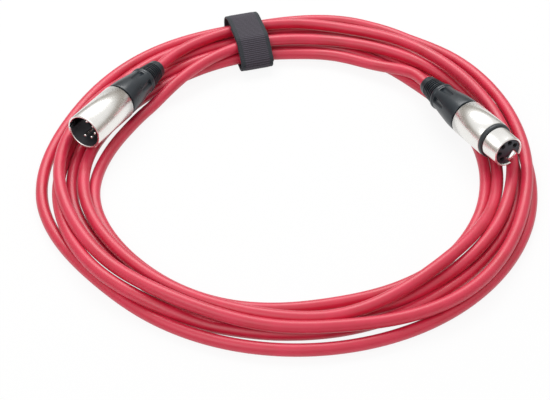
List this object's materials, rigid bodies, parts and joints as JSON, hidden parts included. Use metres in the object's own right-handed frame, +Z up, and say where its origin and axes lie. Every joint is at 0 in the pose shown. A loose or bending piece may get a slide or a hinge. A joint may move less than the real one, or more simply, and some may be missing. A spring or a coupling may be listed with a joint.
{
  "type": "xlr cable coil",
  "caption": "Round red jacketed control cable wound in a flat coil, with a pin plug on one end, a latching socket plug on the other and a woven strap round the bundle.",
  "frame": {"origin": "centre of the bounding box's underside, on the surface that the coil lies on", "axes": "+Z up; +X across the coil towards the side that the female plug lies on; -Y towards the side that both plugs point to"},
  "size_m": [0.2466, 0.2439, 0.028],
  "materials": {
    "cable_jacket": "satin PVC jacket",
    "strap_weave": "woven hook-and-loop",
    "shell_nickel": "satin nickel plating",
    "insert_plastic": "matte",
    "contact_metal": "silver plating",
    "spring_steel": "bright",
    "core_insulation": "smooth",
    "collet_nylon": "matte",
    "bushing_plastic": "satin",
    "boot_rubber": "matte",
    "ring_rubber": "matte",
    "latch_metal": "bright nickel"
  },
  "bodies": {
    "cable": {"cable_coil": "cable_jacket", "tie_strap": "strap_weave", "male_shell": "shell_nickel", "male_insert": "insert_plastic", "male_pin_1": "contact_metal", "male_pin_2": "contact_metal", "male_pin_3": "contact_metal", "male_pin_4": "contact_metal", "male_pin_5": "contact_metal", "male_ground_clip": "spring_steel", "male_wires": "core_insulation", "male_cable_end": "cable_jacket", "female_shell": "shell_nickel", "female_insert": "insert_plastic", "female_socket_1": "contact_metal", "female_socket_2": "contact_metal", "female_socket_3": "contact_metal", "female_socket_4": "contact_metal", "female_socket_5": "contact_metal", "female_ring": "ring_rubber", "female_latch_pin": "spring_steel", "female_latch_spring": "spring_steel", "female_ground_clip": "spring_steel", "female_wires": "core_insulation", "female_cable_end": "cable_jacket"},
    "male_collet": {"male_chuck": "collet_nylon"},
    "male_collar": {"male_bushing": "bushing_plastic", "male_boot": "boot_rubber"},
    "female_collet": {"female_chuck": "collet_nylon"},
    "female_collar": {"female_bushing": "bushing_plastic", "female_boot": "boot_rubber"},
    "latch": {"female_latch": "latch_metal"}
  },
  "joints": [
    {"name": "male_collar_travel", "type": "slide", "parent": "cable", "child": "male_collet", "axis": [0.4889, 0.8676, -0.091], "range_m": [0, 0.004]},
    {"name": "male_collar_turn", "type": "hinge", "parent": "male_collet", "child": "male_collar", "pos_m": [-0.08337, 0.04137, 0.01513], "axis": [0.4889, 0.8676, -0.091], "range_deg": [0, 1440]},
    {"name": "female_collar_travel", "type": "slide", "parent": "cable", "child": "female_collet", "axis": [-0.4749, 0.8721, -0.118], "range_m": [0, 0.004]},
    {"name": "female_collar_turn", "type": "hinge", "parent": "female_collet", "child": "female_collar", "pos_m": [0.08825, 0.02894, 0.01504], "axis": [-0.4749, 0.8721, -0.118], "range_deg": [0, 1440]},
    {"name": "latch_press", "type": "hinge", "parent": "cable", "child": "latch", "pos_m": [0.10086, 0.01157, 0.01387], "axis": [-0.6674, -0.4443, -0.5976], "range_deg": [0, 3], "stiffness_Nm_per_rad": 0.3, "deforming": ["female_latch_spring"]}
  ],
  "couplings": [
    {"joint": "male_collar_turn", "follows": "male_collar_travel", "rad_per_m": 6283.2},
    {"joint": "female_collar_turn", "follows": "female_collar_travel", "rad_per_m": 6283.2}
  ]
}
